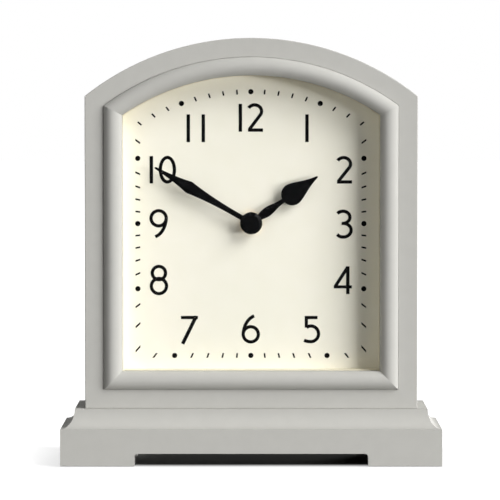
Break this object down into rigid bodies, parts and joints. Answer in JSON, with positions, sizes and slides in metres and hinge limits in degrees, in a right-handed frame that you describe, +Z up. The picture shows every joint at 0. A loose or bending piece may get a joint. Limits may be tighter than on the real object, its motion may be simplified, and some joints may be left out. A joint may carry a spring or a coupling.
{
  "type": "desk clock",
  "caption": "Arch-topped painted wooden desk clock on a coved plinth, with a glazed dial, a spade hour hand, a lance minute hand and a battery quartz movement behind.",
  "frame": {"origin": "middle of the footprint, at table height", "axes": "+Z up, +X to the right of someone reading the dial, the dial faces -Y"},
  "size_m": [0.205, 0.0698, 0.23],
  "materials": {
    "painted_wood": "warm grey satin paint over board",
    "bare_board": "raw hardboard and softwood",
    "felt": "dense wool felt",
    "zinc_steel": "bright zinc plate",
    "clear_glass": "clear polished float glass",
    "spacer_card": "matt ivory",
    "dial_enamel": "matt ivory enamel, printed",
    "black_hands": "satin black paint",
    "black_plastic": "fine moulded texture",
    "white_plastic": "natural acetal",
    "brass": "turned and stamped brass",
    "rubber": "matt black rubber",
    "bonded_magnet": "dark plastic-bonded ferrite",
    "soft_iron": "bare stamped iron",
    "copper_wire": "lacquered copper winding",
    "circuit_laminate": "green solder mask",
    "cell_jacket": "plain film jacket"
  },
  "bodies": {
    "case": {"plinth_front_rail": "painted_wood", "plinth_back_rail": "painted_wood", "plinth_left_rail": "painted_wood", "plinth_right_rail": "painted_wood", "felt_pad_front_left": "felt", "felt_pad_front_right": "felt", "felt_pad_back_left": "felt", "felt_pad_back_right": "felt", "plinth_deck": "bare_board", "plinth_screw_left": "zinc_steel", "plinth_screw_right": "zinc_steel", "case_front_frame": "painted_wood", "case_left_side": "painted_wood", "case_right_side": "painted_wood", "case_arch": "painted_wood", "case_floor": "painted_wood", "moulding_left": "painted_wood", "moulding_right": "painted_wood", "moulding_bottom": "painted_wood", "moulding_arch": "painted_wood", "glass_pane": "clear_glass", "dial_spacer": "spacer_card", "dial_plate": "dial_enamel", "dial_board": "bare_board", "dial_screw_lower_left": "zinc_steel", "dial_screw_lower_right": "zinc_steel", "dial_screw_upper_left": "zinc_steel", "dial_screw_upper_right": "zinc_steel", "back_batten_left": "bare_board", "back_batten_right": "bare_board", "back_panel": "painted_wood", "back_screw_lower_left": "zinc_steel", "back_screw_lower_right": "zinc_steel", "back_screw_upper_left": "zinc_steel", "back_screw_upper_right": "zinc_steel", "movement_front_shell": "black_plastic", "movement_rear_cover": "black_plastic", "threaded_bush": "brass", "rubber_washer": "rubber", "brass_washer": "brass", "hex_nut": "brass", "stator": "soft_iron", "coil": "copper_wire", "coil_core": "soft_iron", "circuit_board": "circuit_laminate", "battery_contact_positive": "brass", "battery_contact_negative": "brass"},
    "minute_hand_set": {"minute_arbor": "brass", "minute_hand": "black_hands", "hand_cap": "black_hands"},
    "hour_hand_set": {"hour_wheel": "white_plastic", "hour_hand": "black_hands"},
    "motion_wheel_set": {"motion_wheel": "white_plastic"},
    "setting_knob_set": {"setting_knob": "black_plastic"},
    "rotor_set": {"rotor": "bonded_magnet"},
    "fifth_wheel_set": {"fifth_wheel": "white_plastic"},
    "fourth_wheel_set": {"fourth_wheel": "white_plastic"},
    "third_wheel_set": {"third_wheel": "white_plastic"},
    "centre_wheel_set": {"centre_wheel": "white_plastic"},
    "cell": {"battery": "cell_jacket"}
  },
  "joints": [
    {"name": "minute_turn", "type": "hinge", "parent": "case", "child": "minute_hand_set", "pos_m": [0, 0, 0.1301], "axis": [0, 1, 0], "continuous": true},
    {"name": "hour_turn", "type": "hinge", "parent": "case", "child": "hour_hand_set", "pos_m": [0, 0, 0.1301], "axis": [0, 1, 0], "continuous": true},
    {"name": "motion_wheel_turn", "type": "hinge", "parent": "case", "child": "motion_wheel_set", "pos_m": [-0.00896, 0, 0.1301], "axis": [0, 1, 0], "continuous": true},
    {"name": "setting_knob_turn", "type": "hinge", "parent": "case", "child": "setting_knob_set", "pos_m": [-0.01792, 0, 0.1301], "axis": [0, 1, 0], "continuous": true},
    {"name": "rotor_turn", "type": "hinge", "parent": "case", "child": "rotor_set", "pos_m": [-0.00785, 0, 0.14605], "axis": [0, 1, 0], "continuous": true},
    {"name": "fifth_wheel_turn", "type": "hinge", "parent": "case", "child": "fifth_wheel_set", "pos_m": [-0.00218, 0, 0.14705], "axis": [0, 1, 0], "continuous": true},
    {"name": "fourth_wheel_turn", "type": "hinge", "parent": "case", "child": "fourth_wheel_set", "pos_m": [0.00414, 0, 0.14475], "axis": [0, 1, 0], "continuous": true},
    {"name": "third_wheel_turn", "type": "hinge", "parent": "case", "child": "third_wheel_set", "pos_m": [0.00555, 0, 0.13672], "axis": [0, 1, 0], "continuous": true},
    {"name": "centre_wheel_turn", "type": "hinge", "parent": "case", "child": "centre_wheel_set", "pos_m": [0, 0, 0.1301], "axis": [0, 1, 0], "continuous": true},
    {"name": "cell_lift_out", "type": "slide", "parent": "case", "child": "cell", "axis": [0, 1, 0], "range_m": [0, 0.03]}
  ],
  "couplings": [
    {"joint": "hour_turn", "follows": "minute_turn", "ratio": 0.083333},
    {"joint": "motion_wheel_turn", "follows": "minute_turn", "ratio": -0.33333},
    {"joint": "setting_knob_turn", "follows": "minute_turn", "ratio": 1},
    {"joint": "fifth_wheel_turn", "follows": "rotor_turn", "ratio": -0.2},
    {"joint": "fourth_wheel_turn", "follows": "rotor_turn", "ratio": 0.033333},
    {"joint": "third_wheel_turn", "follows": "rotor_turn", "ratio": -0.0044444},
    {"joint": "centre_wheel_turn", "follows": "rotor_turn", "ratio": 0.00055556}
  ]
}
